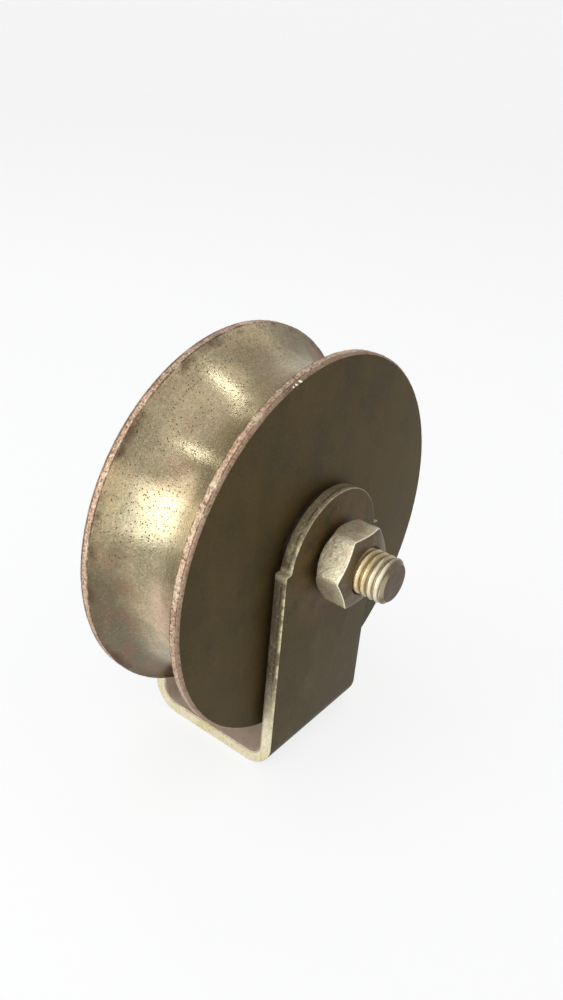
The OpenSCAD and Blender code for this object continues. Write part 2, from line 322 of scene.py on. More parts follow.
def above_axle(radius, y):
    """A point of a turned piece's profile, straight above the axle."""
    return Vector((0, y, AXLE_H + radius))


def off_axle(co):
    """Radius from the axle, and the angle from the top towards +X."""
    return math.hypot(co.x, co.z - AXLE_H), math.atan2(co.x, co.z - AXLE_H)


def place_off_axle(vert, radius, angle):
    vert.co.x = radius * math.sin(angle)
    vert.co.z = AXLE_H + radius * math.cos(angle)


def round_off(bm, geom, width, segments, affect="EDGES"):
    """Rounds edges or corners, and returns the new faces."""
    return bmesh.ops.bevel(bm, geom=geom, affect=affect, offset=width, offset_type="OFFSET",
                           segments=segments, profile=0.5, material=-1, clamp_overlap=True)["faces"]


def sharp_edges(bm, degrees, least_r=0.0):
    """Edges whose faces turn by more than an angle, all of them past a radius from the axle."""
    return [e for e in bm.edges
            if len(e.link_faces) == 2 and e.calc_face_angle() > math.radians(degrees)
            and min(off_axle(v.co)[0] for v in e.verts) > least_r]


def finish_piece(bm, name, body, materials, replaces=()):
    """Writes the bmesh to a new object at the origin that rides on its body."""
    mesh = bpy.data.meshes.new(name)
    bm.to_mesh(mesh)
    bm.free()
    for material in materials:
        mesh.materials.append(material)
    mesh.shade_smooth()
    mesh.set_sharp_from_angle(angle=SMOOTH_ANGLE)
    piece = bpy.data.objects.new(name, mesh)
    bpy.context.scene.collection.objects.link(piece)
    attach(piece, body)
    if replaces:
        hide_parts(*replaces)
    return piece


class Value:
    """A socket whose numbers can be used in an expression. Each operator adds a Math node."""

    def __init__(self, finish, socket):
        self.finish, self.socket = finish, socket

    def __add__(self, other):
        return self.finish.math("ADD", self, other)

    __radd__ = __add__

    def __sub__(self, other):
        return self.finish.math("SUBTRACT", self, other)

    def __rsub__(self, other):
        return self.finish.math("SUBTRACT", other, self)

    def __mul__(self, other):
        return self.finish.math("MULTIPLY", self, other)

    __rmul__ = __mul__

    def __abs__(self):
        return self.finish.math("ABSOLUTE", self)


class Outputs:
    """A node's outputs by name or number."""

    def __init__(self, finish, made):
        self.finish, self.made = finish, made

    def __getitem__(self, key):
        return Value(self.finish, self.made.outputs[key])


class Finish:
    """One procedural material, centred on the axle, and the patterns that the finishes share."""

    def __init__(self, name):
        self.material = bpy.data.materials.new(name)
        self.material.use_nodes = True
        self.tree = self.material.node_tree
        self.tree.nodes.clear()
        self.place = self.mapped(self.node("ShaderNodeTexCoord")["Object"], Location=-AXLE)
        split = self.node("ShaderNodeSeparateXYZ", {}, {"Vector": self.place})
        self.x, self.y, self.z = split["X"], split["Y"], split["Z"]

    def node(self, kind, settings=None, values=None):
        """Adds a node: its settings first, then the values or links of its sockets."""
        made = self.tree.nodes.new(kind)
        for key, value in (settings or {}).items():
            setattr(made, key, value)
        for key, value in (values or {}).items():
            socket = made.inputs[key]
            if isinstance(value, Value):
                self.tree.links.new(value.socket, socket)
            elif hasattr(socket.default_value, "__len__") and len(socket.default_value) == 4:
                socket.default_value = (*tuple(value)[:3], 1.0)
            else:
                socket.default_value = value
        return Outputs(self, made)

    def math(self, operation, *terms):
        return self.node("ShaderNodeMath", {"operation": operation}, dict(enumerate(terms)))[0]

    def mapped(self, vector, **values):
        """Coordinates that are moved or scaled."""
        return self.node("ShaderNodeMapping", {"vector_type": "POINT"},
                         {"Vector": vector, **values})["Vector"]

    def round_axle(self):
        """Radius and angle about the axle."""
        flat = self.node("ShaderNodeCombineXYZ", {}, {"X": self.x, "Z": self.z})["Vector"]
        radius = self.node("ShaderNodeVectorMath", {"operation": "LENGTH"}, {0: flat})["Value"]
        return radius, self.math("ARCTAN2", self.x, self.z)

    def drawn_round(self, across, depth, angle, step):
        """Coordinates on which noise draws out into lines round the axle. A radian counts as a step."""
        return self.node("ShaderNodeCombineXYZ", {},
                         {"X": across, "Y": depth, "Z": angle * step})["Vector"]

    def noise(self, size, detail, roughness, at=None, stretch=(1, 1, 1)):
        """Soft noise whose spots are about size metres across."""
        vector = self.mapped(at or self.place, Scale=[s / size for s in stretch])
        return self.node("ShaderNodeTexNoise", {"noise_dimensions": "3D"},
                         {"Vector": vector, "Scale": 1.0, "Detail": detail,
                          "Roughness": roughness})["Fac"]

    def grit(self):
        """The fine grit that most worn finishes share."""
        return self.noise(0.8 * MM, 3.0, 0.7)

    def specks(self, size, share, radius):
        """1 inside small round specks, which fill a share of cells of about size metres."""
        cells = self.node("ShaderNodeTexVoronoi", {"feature": "F1"},
                          {"Vector": self.mapped(self.place, Scale=[1 / size] * 3),
                           "Scale": 1.0, "Randomness": 1.0})
        chance = self.node("ShaderNodeSeparateColor", {}, {"Color": cells["Color"]})
        wide = chance["Green"] * radius + radius * 0.4
        inside = self.rise(wide - cells["Distance"], 0.0, radius * 0.6)
        return inside * self.rise(share - chance["Red"], 0.0, 0.02)

    def rise(self, value, low, high):
        """A smooth step from 0 at low to 1 at high."""
        return self.node("ShaderNodeMapRange", {"interpolation_type": "SMOOTHSTEP", "clamp": True},
                         {"Value": value, "From Min": low, "From Max": high})["Result"]

    def mix(self, share, first, second):
        """Blends two colours by a share from 0 to 1."""
        return self.node("ShaderNodeMix", {"data_type": "RGBA"}, {0: share, 6: first, 7: second})[2]

    def layers(self, base, *rows):
        """Lays tints over a base colour. Each row is a share and its tint."""
        for share, tint in rows:
            base = self.mix(share, base, tint)
        return base

    def metal(self, base, roughness, height, depth, metallic=1.0, specular=0.5, brushed=0.0):
        """Ends the material in a metal shader with a bump of some depth."""
        bump = self.node("ShaderNodeBump", {}, {"Height": height, "Strength": 1.0, "Distance": depth})
        shader = self.node("ShaderNodeBsdfPrincipled", {},
                           {"Base Color": base, "Roughness": roughness, "Metallic": metallic,
                            "Specular IOR Level": specular, "Anisotropic": brushed,
                            "Normal": bump["Normal"]})["BSDF"]
        self.node("ShaderNodeOutputMaterial", {}, {"Surface": shader})
        return self.material


def groove_finish():
    """Yellow plating with turned lines and pits; a pale reddish blush low at the left, partly painted
    light; soil and painted shade towards the rear, with a painted shade line and grime along the rear
    edge.
    """
    f, c = Finish("groove_plating"), colours()
    radius, angle = f.round_axle()
    lines = f.drawn_round(f.y, radius, angle, 0.6 * MM)
    turning = f.noise(0.16 * MM, 1.0, 0.5, at=lines)
    streaks = f.noise(1.6 * MM, 4.0, 0.65, at=lines)
    patches = f.noise(20 * MM, 5.0, 0.62)
    rubbed = f.noise(11 * MM, 6.0, 0.7)
    grit = f.noise(0.8 * MM, 2.0, 0.7)
    mouth = groove_half()
    # A pale pinkish blush low on the left, in the front half. It is partly a pinkish tint and partly
    # painted light below the window's highlight.
    low = f.rise(angle + 0.25 * (patches - 0.5), -1.36, -1.66)
    blush_and_light = low * f.rise(angle, -2.20, -1.85) * f.rise(rubbed, 0.32, 0.52)
    blush_and_light = blush_and_light * f.rise(f.y + 8 * MM * (patches - 0.5), 6 * MM, -2 * MM)
    pits = f.specks(0.7 * MM, 0.75, 0.33) * f.rise(rubbed + 0.3 * grit, 0.42, 0.62) * (1 - 0.75 * low)
    # Soil and painted shade: the groove darkens at its far ends round the wheel and towards the rear. This
    # is partly reddish soil and partly a painted dark reflection.
    soil_and_shade = f.rise(abs(angle + 0.55) + 0.4 * (patches - 0.5), 0.62, 1.05)
    soil_and_shade = soil_and_shade * f.rise(f.y + 8 * MM * (rubbed - 0.5), 4 * MM, 13 * MM)
    soil_and_shade_tone = f.mix(f.rise(rubbed, 0.46, 0.60), Tint.groove_soil_shade, Tint.groove_soil_red)
    # Grime and a painted shade line: a dark line along the groove's rear edge. It is partly a painted dark
    # reflection and partly grime spots.
    grime_and_shade_line = f.rise(f.y + 3 * MM * (rubbed - 0.5), mouth - 1.5 * MM, mouth + 0.1 * MM)
    grime_and_shade_line = grime_and_shade_line * f.rise(rubbed, 0.42, 0.60)
    base = f.layers(
        c.groove,
        (f.rise(patches, 0.44, 0.60), c.groove_green),
        (f.rise(rubbed, 0.54, 0.68) * 0.5, c.groove_pink),
        (f.rise(rubbed, 0.46, 0.34) * 0.6, Tint.groove_worn),
        (f.rise(streaks, 0.48, 0.72) * 0.25, Tint.groove_streak),
        (blush_and_light * 0.75, Tint.groove_blush_light),
        (soil_and_shade * 0.8, soil_and_shade_tone),
        (f.rise(grit, 0.52, 0.68) * 0.3 * (1 - 0.7 * soil_and_shade), Tint.groove_grit_light),
        (f.rise(grit, 0.47, 0.32) * 0.3, Tint.groove_grit_dark),
        (pits * 0.55, Tint.groove_pit),
        (grime_and_shade_line * 0.7, Tint.groove_grime_and_shade))
    rough = 0.23 + 0.06 * patches + 0.25 * pits + 0.10 * soil_and_shade
    height = turning * 0.12 + streaks * 0.1 + grit * 0.3 - pits * 0.6
    return f.metal(base, rough, height, 0.12 * MM, brushed=1.0)


def rim_finish():
    """Copper-brown rims, gritty, with dark lines beside the land, the one at the groove's edge painted
    shade.
    """
    f, c = Finish("rim_copper"), colours()
    grit = f.grit()
    patches = f.noise(7 * MM, 5.0, 0.7)
    tone = f.noise(30 * MM, 3.0, 0.5)
    specks = f.specks(1.2 * MM, 0.5, 0.30)
    across = abs(f.y)
    half = WHEEL_HIGH.y
    # Dark lines at the land's two edges; the one at the groove's edge is painted shade.
    crease = (f.rise(abs(across - (groove_half() + 0.1 * MM)), 0.4 * MM, 0.1 * MM)
              + f.rise(abs(across - (half - 1.1 * MM)), 0.3 * MM, 0.1 * MM))
    outer = f.rise(across + 0.6 * MM * (patches - 0.5), half - 1.15 * MM, half - 0.75 * MM)
    base = f.layers(
        c.rim,
        (f.rise(tone, 0.40, 0.62), Tint.rim_dull),
        (f.rise(patches, 0.50, 0.66) * 0.8, Tint.rim_pale),
        (f.rise(patches, 0.48, 0.34) * 0.7, Tint.rim_brown),
        (f.rise(grit, 0.49, 0.36) * 0.8, Tint.rim_grit_dark),
        (f.rise(grit, 0.54, 0.68) * 0.7, Tint.rim_grit_light),
        (specks * 0.6, Tint.rim_speck),
        (outer * 0.6, Tint.rim_outer),
        (crease * f.rise(patches, 0.64, 0.46) * 0.75, Tint.rim_crease))
    return f.metal(base, 0.36 + 0.25 * grit, grit + 0.8 * patches - specks * 0.5, 0.4 * MM, 0.8)


def side_finish():
    """Olive plating on the wheel's sides, painted dark for the dark reflection they show, cloudy and
    grained, with faint turned rings.
    """
    f, c = Finish("side_plating"), colours()
    radius, angle = f.round_axle()
    rings = f.noise(0.7 * MM, 2.0, 0.5, at=f.drawn_round(radius, f.y, angle, 10 * MM))
    patches = f.noise(22 * MM, 4.0, 0.6, stretch=(1, 1, 0.7))
    cloud = f.noise(8 * MM, 6.0, 0.68, stretch=(1, 1, 0.6))
    grain = f.noise(0.9 * MM, 4.0, 0.75)
    base = f.layers(
        c.side,
        (f.rise(patches, 0.40, 0.66), c.side_warm),
        (f.rise(patches, 0.48, 0.30) * 0.9, Tint.side_grey),
        (f.rise(cloud, 0.50, 0.66) * 0.4, Tint.side_light),
        (f.rise(cloud, 0.46, 0.30) * 0.4, Tint.side_dark),
        (f.rise(grain, 0.50, 0.76) * 0.4, Tint.side_grain_light),
        (f.rise(grain, 0.44, 0.26) * 0.4, Tint.side_grain_dark),
        (f.specks(4 * MM, 0.2, 0.12) * 0.5, Tint.side_speck))
    rough = 0.46 + 0.16 * cloud + 0.06 * rings
    return f.metal(base, rough, rings * 0.25 + grain * 0.8 + cloud * 0.8, 0.06 * MM, 0.35, 0.2)


def bar_face_finish():
    """Olive plating on the bar's faces, painted dark for the dark reflection they show, with a brown stain
    round the nut.
    """
    f, c = Finish("bar_plating"), colours()
    radius = f.round_axle()[0]
    patches = f.noise(18 * MM, 4.0, 0.6, stretch=(1, 1, 0.5))
    cloud = f.noise(7 * MM, 6.0, 0.68)
    grain = f.noise(0.9 * MM, 4.0, 0.75)
    stain = f.rise(radius + 12 * MM * (patches - 0.5), 26 * MM, 15 * MM)
    base = f.layers(
        c.bar,
        (f.rise(patches, 0.46, 0.62) * 0.8, Tint.bar_light),
        (f.rise(cloud, 0.50, 0.66) * 0.6, Tint.bar_green),
        (f.rise(cloud, 0.46, 0.32) * 0.6, Tint.bar_dark),
        (stain * f.rise(cloud, 0.38, 0.56) * 0.9, c.bar_warm),
        (f.rise(grain, 0.50, 0.76) * 0.4, Tint.bar_grain_light),
        (f.rise(grain, 0.44, 0.26) * 0.4, Tint.bar_grain_dark))
    return f.metal(base, 0.46 + 0.16 * cloud, grain * 0.8 + cloud, 0.06 * MM, 0.35, 0.2)


def bar_floor_finish():
    """Greyish plating inside the bracket, and on the washers and the tube."""
    f, c = Finish("bar_floor_plating"), colours()
    cloud = f.noise(7 * MM, 5.0, 0.65)
    grain = f.noise(0.9 * MM, 4.0, 0.7)
    base = f.layers(
        c.floor_tone,
        (f.rise(cloud, 0.45, 0.65) * 0.6, Tint.floor_dark),
        (f.rise(grain, 0.5, 0.8) * 0.3, Tint.floor_grain))
    return f.metal(base, 0.5 + 0.14 * cloud, grain, 0.05 * MM, 0.25)


def bar_edge_finish():
    """The bar's edges: brown with a dark seam and a torn bright lip, partly painted glints; painted light
    makes them cream low on the bracket and lighter at the eye's top, with a painted highlight on the
    ledges.
    """
    f, c = Finish("bar_edge_plating"), colours()
    through = f.node("ShaderNodeAttribute",
                     {"attribute_type": "GEOMETRY", "attribute_name": "through"})["Fac"]
    wobble = f.noise(5 * MM, 3.0, 0.6)
    grit = f.grit()
    patches = f.noise(7 * MM, 5.0, 0.7)
    at = through + 0.25 * (wobble - 0.5)
    # Painted light: low on the bracket, where the wheel no longer shades the edges from the left, they are
    # painted cream.
    low = f.rise(f.z + 16 * MM * (patches - 0.5), -30 * MM, -62 * MM)
    # Painted light: the edges are lighter high on the eye, whose top faces up towards the lamps.
    high = f.rise(f.z, 4 * MM, 19 * MM)
    # Painted highlight along the ledges beside the eyes.
    ledge = f.rise(abs(f.x), 20 * MM, 21.5 * MM) * f.rise(abs(f.z - 2.5 * MM), 2.4 * MM, 0.8 * MM)
    # A bright torn lip near the outer face, broken by patches. It is partly a bright burr and partly
    # painted glints.
    lip = f.rise(at, 0.74, 0.90) * f.rise(patches, 0.46, 0.58)
    base = f.layers(
        c.edge_dark,
        (f.rise(at, 0.30, 0.60), Tint.edge_brown),
        (high, Tint.edge_eye_top_lit),
        (f.rise(abs(at - 0.64), 0.10, 0.03) * 0.7, Tint.edge_seam),
        (lip * (1 - 0.8 * high), Tint.edge_lip_glint),
        (f.rise(patches, 0.56, 0.68) * 0.7, Tint.edge_olive),
        (low, c.edge),
        (f.rise(patches, 0.50, 0.62) * 0.7 * low, Tint.edge_lit_yellow),
        (f.rise(patches, 0.48, 0.36) * 0.7 * low, Tint.edge_lit_cream),
        (low * f.rise(at, 0.22, 0.08) * 0.7, Tint.edge_inner),
        (ledge * 0.8, Tint.edge_ledge_highlight),
        (f.rise(grit, 0.47, 0.34) * 0.45, Tint.edge_grit_dark),
        (f.rise(grit, 0.56, 0.70) * 0.5, Tint.edge_grit_light))
    return f.metal(base, 0.34 + 0.22 * grit, grit + 0.8 * wobble, 0.24 * MM, 0.7)


def nut_flat_finish():
    """Pale plating on the flats of the nut and the bolt's head."""
    f, c = Finish("nut_plating"), colours()
    grit = f.grit()
    patches = f.noise(3.5 * MM, 6.0, 0.7)
    base = f.layers(
        c.nut,
        (f.rise(patches, 0.48, 0.62), Tint.nut_brown),
        (f.rise(patches, 0.46, 0.34) * 0.7, Tint.nut_olive),
        (f.rise(grit, 0.54, 0.68) * 0.7, Tint.nut_grit_light),
        (f.rise(grit, 0.45, 0.31) * 0.6, Tint.nut_grit_dark))
    return f.metal(base, 0.28 + 0.2 * grit, grit + 0.8 * patches, 0.2 * MM, 0.8)


def worn_edge_finish():
    """Bright rubbed edges of the nut and the head, and the beads."""
    f, c = Finish("worn_edge_plating"), colours()
    grit = f.grit()
    base = f.mix(f.rise(grit, 0.42, 0.56), c.nut, Tint.nut_edge_bright)
    return f.metal(base, 0.26 + 0.2 * grit, grit, 0.15 * MM, 0.8)


def nut_face_finish():
    """Darker plating on the end faces of the nut and the head."""
    f, c = Finish("nut_face_plating"), colours()
    grain = f.noise(0.8 * MM, 4.0, 0.7)
    patches = f.noise(5 * MM, 4.0, 0.65)
    base = f.layers(
        c.nut_face,
        (f.rise(patches, 0.40, 0.66), Tint.nut_face_dark),
        (f.rise(grain, 0.52, 0.78) * 0.35, Tint.nut_face_grain))
    return f.metal(base, 0.40 + 0.18 * grain, grain, 0.1 * MM)


def thread_finish():
    """Golden plating on the thread: dark roots, lines along the helix, a paler end, and painted shade at
    its top, its bottom and its end away from the lit side.
    """
    f, c = Finish("thread_plating"), colours()
    s = sizes()
    radius, angle = f.round_axle()
    along = f.y + angle * (s.pitch / math.tau)
    drawn = f.noise(0.32 * MM, 3.0, 0.7, at=f.drawn_round(along, radius, angle, 0.5 * MM))
    grit = f.grit()
    patches = f.noise(5 * MM, 4.0, 0.6)
    from_end = f.y - BOLT_LOW.y
    deep = f.rise(radius, s.thread_r - 0.37 * MM, s.thread_r - 0.7 * MM)
    # Painted shade: the thread is darkened at its top and bottom, away from its lit left side.
    turn_from_lit_side = abs(angle + 1.35)
    # The end is darker except on the lit left side. This is partly a dark end and partly painted shade.
    end = f.rise(from_end, 1.75 * MM, 1.15 * MM) * f.rise(turn_from_lit_side + 0.4 * (grit - 0.5), 0.35, 0.80)
    base = f.layers(
        c.thread,
        (f.rise(patches, 0.42, 0.62) * 0.6, Tint.thread_brown),
        (f.rise(from_end, 7.05 * MM, 3.05 * MM), Tint.thread_pale),
        (f.rise(drawn, 0.48, 0.34) * 0.4, Tint.thread_line),
        (deep * 0.8, Tint.thread_root),
        (f.rise(turn_from_lit_side + 0.5 * (patches - 0.5), 0.45, 1.15) * 0.75, Tint.thread_painted_shade),
        (f.rise(grit, 0.44, 0.28) * 0.4, Tint.thread_grit),
        (end * 0.85, Tint.thread_end_and_shade))
    return f.metal(base, 0.24 + 0.2 * grit, grit * 0.6 + drawn, 0.11 * MM, 0.85)


def tip_finish():
    """Dark brown end face of the bolt."""
    f, c = Finish("bolt_end_plating"), colours()
    grain = f.noise(0.9 * MM, 4.0, 0.7)
    patches = f.noise(4 * MM, 4.0, 0.65)
    base = f.layers(
        c.tip,
        (f.rise(patches, 0.40, 0.66), Tint.tip_light),
        (f.rise(grain, 0.52, 0.78) * 0.3, Tint.tip_grain))
    return f.metal(base, 0.4 + 0.15 * grain, grain, 0.1 * MM)


def steel_finish(name, tone, line, rough):
    """Bearing steel with lines round the axle that are about line metres wide."""
    f = Finish(name)
    radius, angle = f.round_axle()
    rings = f.noise(line, 2.0, 0.5, at=f.drawn_round(radius, f.y, angle, 10 * MM))
    cloud = f.noise(4 * MM, 4.0, 0.6)
    base = f.mix(f.rise(cloud, 0.4, 0.7) * 0.5, tone, [0.8 * t for t in tone])
    return f.metal(base, rough + 0.1 * cloud + 0.08 * rings, rings, 0.03 * MM)


def ring_finish():
    return steel_finish("ground_ring_steel", colours().steel, 0.4 * MM, 0.24)


def ball_finish():
    return steel_finish("polished_ball_steel", colours().ball, 3 * MM, 0.10)


def sheet_finish():
    return steel_finish("pressed_sheet_steel", colours().sheet, 0.9 * MM, 0.34)


MADE = {}


def made_materials(*makers):
    """The materials of these makers, each made once."""
    found = []
    for maker in makers:
        material = bpy.data.materials.get(MADE.get(maker, ""))
        if material is None:
            material = maker()
            MADE[maker] = material.name
        found.append(material)
    return found


class GATEWHEEL_OT_wheel(bpy.types.Operator):
    """Turns the wheel with its round groove, lands and bearing seats"""
    bl_idname = "gate_wheel.wheel"
    bl_label = "Wheel"

    def execute(self, context):
        s = sizes()
        half, mouth = WHEEL_HIGH.y, groove_half()
        arc_r = (mouth ** 2 + s.groove_depth ** 2) / (2 * s.groove_depth)
        seat_end = half - s.seat_depth
        rim_start = WHEEL_R - 2 * s.rim_chamfer

        bm = bmesh.new()
        wire = Outline(bm, above_axle(WHEEL_R, -mouth))
        wire.arc(above_axle(WHEEL_R - s.groove_depth + arc_r, 0), (1, 0, 0),
                 2 * math.asin(mouth / arc_r), GROOVE_STEPS)
        edge = ((WHEEL_R, half - s.rim_chamfer), (WHEEL_R - s.rim_chamfer, half),
                (s.seat_r + s.seat_lead, half), (s.seat_r, half - s.seat_lead),
                (s.seat_r, seat_end), (s.hub_bore_r, seat_end))
        for radius, y in (*edge, *((radius, -y) for radius, y in reversed(edge))):
            wire.line(above_axle(radius, y))
        wire.close()
        spin_closed(bm, WHEEL_STEPS)
        round_off(bm, sharp_edges(bm, 30, rim_start), s.rim_round, 3)

        groove, rim, side, seat = range(4)
        for face in bm.faces:
            middle = face.calc_center_median()
            radius = off_axle(middle)[0]
            if abs(middle.y) > half - 0.02 * MM:
                face.material_index = side
            elif radius > WHEEL_R - 1.2 * s.rim_chamfer and abs(middle.y) > mouth - 0.1 * MM:
                face.material_index = rim
            elif radius > s.seat_r + 2 * s.seat_lead:
                face.material_index = groove
            else:
                face.material_index = seat
        for vert in bm.verts:
            radius, angle = off_axle(vert.co)
            if radius > rim_start:
                spot = Vector((DENTS_ROUND * math.sin(angle), DENTS_ACROSS * vert.co.y,
                               DENTS_ROUND * math.cos(angle)))
                dent = max(0.0, noise.noise(spot)) + 0.5 * max(0.0, noise.noise(DENTS_FINER * spot))
                place_off_axle(vert, radius - s.rim_wear * dent, angle)
        piece = finish_piece(bm, "grooved_wheel", "wheel",
                             made_materials(groove_finish, rim_finish, side_finish, ring_finish),
                             ["wheel"])
        # A brushed shader takes its direction from the mesh's texture space. This one makes it
        # follow Y.
        piece.data.use_auto_texspace = False
        piece.data.texspace_location = (-10, 0, 0)
        piece.data.texspace_size = (10, 1000, 1)
        return {"FINISHED"}


class GATEWHEEL_OT_beads(bpy.types.Operator):
    """Adds the small beads of metal that stick to the front flange's outer edge"""
    bl_idname = "gate_wheel.beads"
    bl_label = "Beads on the rim"

    def execute(self, context):
        bm = bmesh.new()
        for degrees, size, long in BEADS:
            angle = math.radians(degrees)
            place = (Matrix.Translation(AXLE) @ Matrix.Rotation(angle, 4, "Y")
                     @ Matrix.Translation((0, WHEEL_LOW.y + BEAD_FROM_FACE, WHEEL_R - BEAD_INSET))
                     @ Matrix.Rotation(BEAD_TILT, 4, "Z")
                     @ Matrix.Diagonal((BEAD_WIDTH, long, BEAD_WIDTH, 1)))
            bmesh.ops.create_icosphere(bm, subdivisions=3, radius=size / 1.5, matrix=place)
        for vert in bm.verts:
            vert.co += vert.normal * BEAD_BUMPS * noise.noise(BEAD_BUMPS_PER_M * vert.co)
        bmesh.ops.recalc_face_normals(bm, faces=bm.faces[:])
        finish_piece(bm, "rim_beads", "wheel", made_materials(worn_edge_finish))
        return {"FINISHED"}


class GATEWHEEL_OT_bracket(bpy.types.Operator):
    """Cuts the flat blank with its two eyes, rounds its edges and folds it into the bracket"""
    bl_idname = "gate_wheel.bracket"
    bl_label = "Bracket"

    def execute(self, context):
        s = sizes()
        half_w = BAR_HIGH.x
        cheek_in = BAR_HIGH.y - s.bar_t
        floor = cheek_in - s.bend_r
        fold = math.pi / 2 * (s.bend_r + s.bar_t / 2)
        eye = floor + fold + AXLE_H - s.bar_t - s.bend_r
        ledge = eye + s.ledge_h
        eye_angle = math.acos(s.ledge_h / s.eye_r)
        ledge_x = s.eye_r * math.sin(eye_angle)
        up = (0, 0, 1)

        # One half of the blank lies flat, with its length along Y, and is mirrored.
        bm = bmesh.new()
        wire = Outline(bm, (0, -eye - s.eye_r, 0))
        wire.arc((0, -eye, 0), up, eye_angle, EYE_STEPS)
        wire.line((half_w, -ledge, 0)).line((half_w, ledge, 0)).line((ledge_x, ledge, 0))
        wire.arc((0, eye, 0), up, eye_angle, EYE_STEPS)
        wire.line((0, eye + s.hole_r, 0)).arc((0, eye, 0), up, -math.pi, HOLE_STEPS)
        wire.line((0, s.hole_r - eye, 0)).arc((0, -eye, 0), up, -math.pi, HOLE_STEPS)
        wire.close()
        bmesh.ops.edgeloop_fill(bm, edges=bm.edges[:])
        tips = [v for v in bm.verts if abs(v.co.x - half_w) < MERGE]
        round_off(bm, tips, s.ledge_tip, 4, "VERTICES")
        roots = [v for v in bm.verts
                 if abs(abs(v.co.y) - ledge) < MERGE and abs(v.co.x - ledge_x) < MERGE]
        round_off(bm, roots, s.ledge_root, 3, "VERTICES")
        bmesh.ops.mirror(bm, geom=everything(bm), axis="X", merge_dist=MERGE)
        bmesh.ops.recalc_face_normals(bm, faces=bm.faces[:])
        for side in (-1, 1):
            for step in range(FOLD_STEPS + 1):
                bmesh.ops.bisect_plane(bm, geom=everything(bm), plane_no=ALONG_AXLE, dist=ON_PLANE,
                                       plane_co=(0, side * (floor + fold * step / FOLD_STEPS), 0))
        bmesh.ops.solidify(bm, geom=bm.faces[:], thickness=s.bar_t)
        low = min(v.co.z for v in bm.verts)
        bmesh.ops.translate(bm, vec=(0, 0, -low), verts=bm.verts[:])
        bmesh.ops.recalc_face_normals(bm, faces=bm.faces[:])
        for level, width in ((0, s.rolled_round), (s.bar_t, s.outer_round)):
            edges = [e for e in sharp_edges(bm, 60)
                     if all(abs(v.co.z - level) < MERGE
                            and math.hypot(v.co.x, abs(v.co.y) - eye) > s.hole_r + MM for v in e.verts)]
            round_off(bm, edges, width, 5)

        # The edge finish reads how far through the bar's thickness a point lies.
        through = bm.verts.layers.float.new("through")
        outside, rim, inside = range(3)
        for face in bm.faces:
            if abs(face.normal.z) < 0.97:
                face.material_index = rim
            else:
                face.material_index = inside if face.normal.z < 0 else outside
        for vert in bm.verts:
            x, run, out = vert.co
            vert[through] = out / s.bar_t
            side = 1 if run > 0 else -1
            run = abs(run)
            if run <= floor:
                vert.co = (x, side * run, s.bar_t - out)
            elif run < floor + fold:
                bent = (run - floor) / fold * math.pi / 2
                reach = s.bend_r + out * (1 - s.fold_thinning * math.sin(2 * bent))
                vert.co = (x, side * (floor + reach * math.sin(bent)),
                           s.bar_t + s.bend_r - reach * math.cos(bent))
            else:
                vert.co = (x, side * (cheek_in + out), s.bar_t + s.bend_r + run - floor - fold)
        bmesh.ops.recalc_face_normals(bm, faces=bm.faces[:])
        finish_piece(bm, "folded_bracket", "frame",
                     made_materials(bar_face_finish, bar_edge_finish, bar_floor_finish), ["bracket"])
        return {"FINISHED"}


def hex_body(bm, start, end, bore_r, turn, start_face, end_face):
    """A hexagon about the axle from start to end along Y. A face is its round radius and slope."""
    s = sizes()
    corner_r = s.hex_af / math.sqrt(3)
    high = end - start

    def at(radius, rise):
        return above_axle(radius, start + rise)

    if bore_r:
        wire = Outline(bm, at(bore_r, s.bore_lead))
        wire.line(at(bore_r + s.bore_lead, 0))
    else:
        wire = Outline(bm, at(0, 0))
    # The two corner rings only need a place between the ends here, because they are moved below.
    wire.line(at(start_face[0], 0)).line(at(corner_r, 0.2 * high)).line(at(corner_r, 0.8 * high))
    wire.line(at(end_face[0], high))
    if bore_r:
        wire.line(at(bore_r + s.bore_lead, high)).line(at(bore_r, high - s.bore_lead)).close()
    else:
        wire.line(at(0, high))
    spin_closed(bm, BOLT_STEPS)
    for vert in bm.verts:
        radius, angle = off_axle(vert.co)
        if radius > corner_r - MERGE:
            across = (angle - turn) % (math.pi / 3) - math.pi / 6
            flat_r = s.hex_af / 2 / math.cos(across)
            near_start = vert.co.y < (start + end) / 2
            face_r, slope = start_face if near_start else end_face
            drop = (flat_r - face_r) * math.tan(slope)
            vert.co.y = start + drop if near_start else end - drop
            place_off_axle(vert, flat_r, angle)


def hex_materials(bm, worn, flat_index, end_index, worn_index):
    """Gives flats, ends and the rounded edges of the flats their own finishes."""
    for face in bm.faces:
        face.material_index = end_index if abs(face.normal.y) > 0.3 else flat_index
    for face in worn:
        if off_axle(face.calc_center_median())[0] > sizes().hex_af / 2 - 0.3 * MM:
            face.material_index = worn_index


class GATEWHEEL_OT_nut(bpy.types.Operator):
    """Makes the hex nut with its turned ends and worn edges"""
    bl_idname = "gate_wheel.nut"
    bl_label = "Nut"

    def execute(self, context):
        s = sizes()
        bm = bmesh.new()
        hex_body(bm, NUT_LOW.y, NUT_HIGH.y, s.thread_r + s.bore_play, math.pi / 2 - s.nut_turn,
                 (s.crown_face_r, s.crown_slope), (s.seat_face_r, s.seat_slope))
        outside = sharp_edges(bm, 12, s.hex_af / 2 - 0.1 * MM)
        flat, end, worn = range(3)
        hex_materials(bm, round_off(bm, outside, s.nut_round, 3), flat, end, worn)
        finish_piece(bm, "hex_nut", "frame",
                     made_materials(nut_flat_finish, nut_face_finish, worn_edge_finish), ["axle_nut"])
        return {"FINISHED"}


